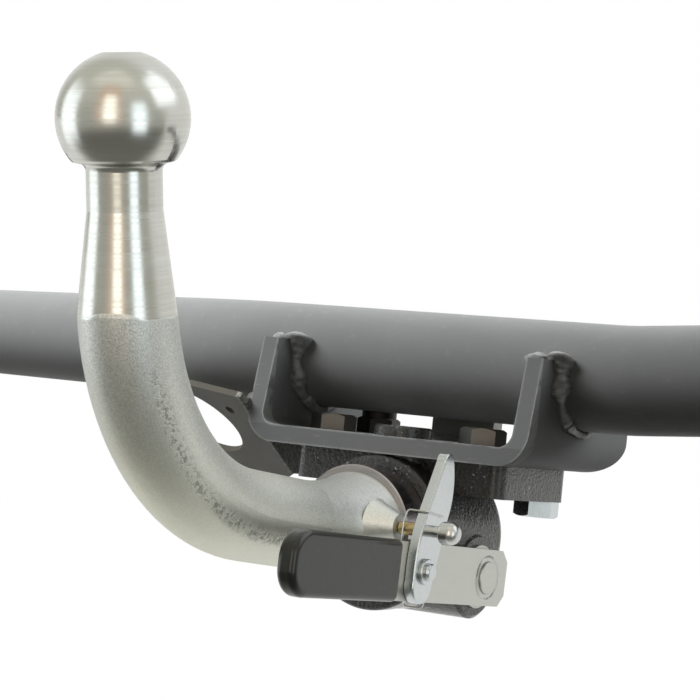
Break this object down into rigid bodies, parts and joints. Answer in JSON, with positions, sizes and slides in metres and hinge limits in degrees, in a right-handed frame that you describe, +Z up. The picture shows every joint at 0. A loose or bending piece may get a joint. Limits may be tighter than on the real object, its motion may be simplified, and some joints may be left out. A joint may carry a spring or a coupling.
{
  "type": "detachable towbar",
  "caption": "Round cross tube with a bracket and cast housing that hold a plug-in swan neck and tow ball, locked by a hand lever with a sprung catch.",
  "frame": {"origin": "centre of the tow ball", "axes": "+X along the cross tube to the car's right, +Y forward to the car, +Z up through the ball"},
  "size_m": [0.916, 0.4486, 0.2549],
  "materials": {
    "forged_steel": "blasted forging, turned ball",
    "bright_steel": "ground",
    "cast_iron": "rough casting in gloss black",
    "black_rubber": "matte",
    "bronze": "plain",
    "grey_coat": "satin powder coat",
    "dark_bolt": "dark oiled",
    "zinc": "zinc plated",
    "olive_sheet": "matte coat",
    "black_plastic": "semi-gloss",
    "yellow_zinc": "yellow passivated",
    "spring_steel": "drawn wire"
  },
  "bodies": {
    "carrier": {"cross_tube": "grey_coat", "left_chassis_plate": "grey_coat", "right_chassis_plate": "grey_coat", "tube_end_welds": "grey_coat", "bracket": "grey_coat", "bracket_welds": "grey_coat", "tube_stay": "grey_coat", "stay_welds": "grey_coat", "socket_plate": "olive_sheet", "socket_plate_weld": "grey_coat", "housing": "cast_iron", "housing_bush": "bright_steel", "end_plug": "black_rubber", "shaft_bushes": "bronze", "front_bolts": "dark_bolt", "rear_bolts": "zinc", "rear_nuts": "dark_bolt"},
    "neck": {"swan_neck": "forged_steel", "index_dowels": "bright_steel"},
    "lever": {"lock_shaft": "zinc", "shaft_washer": "zinc", "shaft_tail_washer": "zinc", "shaft_circlip": "dark_bolt", "lever_plate": "zinc", "lever_grip": "black_plastic", "catch_rivet": "zinc"},
    "catch": {"safety_catch": "zinc", "catch_pin": "yellow_zinc", "catch_knob": "zinc", "catch_spring": "spring_steel"}
  },
  "joints": [
    {"name": "neck_slide", "type": "slide", "parent": "carrier", "child": "neck", "axis": [0, -0.9808, 0.1951], "range_m": [0, 0.09]},
    {"name": "lever_turn", "type": "hinge", "parent": "carrier", "child": "lever", "pos_m": [0, 0.19854, -0.20894], "axis": [1, 0, 0], "range_deg": [0, 100]},
    {"name": "catch_turn", "type": "hinge", "parent": "lever", "child": "catch", "pos_m": [0.043, 0.13775, -0.19318], "axis": [1, 0, 0], "range_deg": [0, 10], "stiffness_Nm_per_rad": 0.15, "springref_deg": -28.65}
  ]
}
